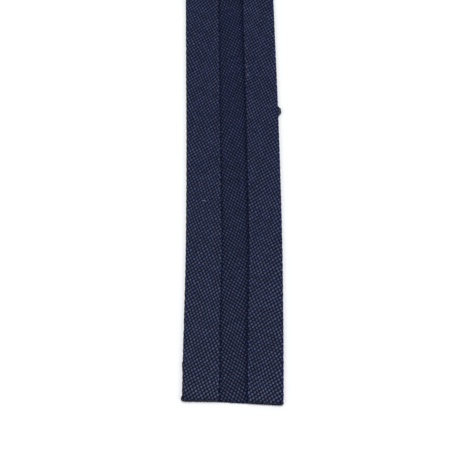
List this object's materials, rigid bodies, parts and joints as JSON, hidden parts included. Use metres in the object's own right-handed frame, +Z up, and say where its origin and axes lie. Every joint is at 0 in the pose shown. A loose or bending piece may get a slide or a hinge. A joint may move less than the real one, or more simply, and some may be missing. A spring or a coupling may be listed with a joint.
{
  "type": "single-fold bias tape",
  "caption": "Cut length of single-fold bias tape lying flat, wrong side up: a woven strip with both raw edges turned in and an open channel between them.",
  "frame": {"origin": "centre of the bounding box at its base, on the underside of the tape's base layer", "axes": "+X to the right across the tape, +Y along the tape away from the slanted cut end, +Z up out of the turned-in edges"},
  "size_m": [0.022, 0.1208, 0.0023],
  "materials": {
    "tape_cloth": "pressed plain-woven navy cotton blend, matt"
  },
  "bodies": {
    "root": {"tape": "tape_cloth"}
  },
  "joints": []
}
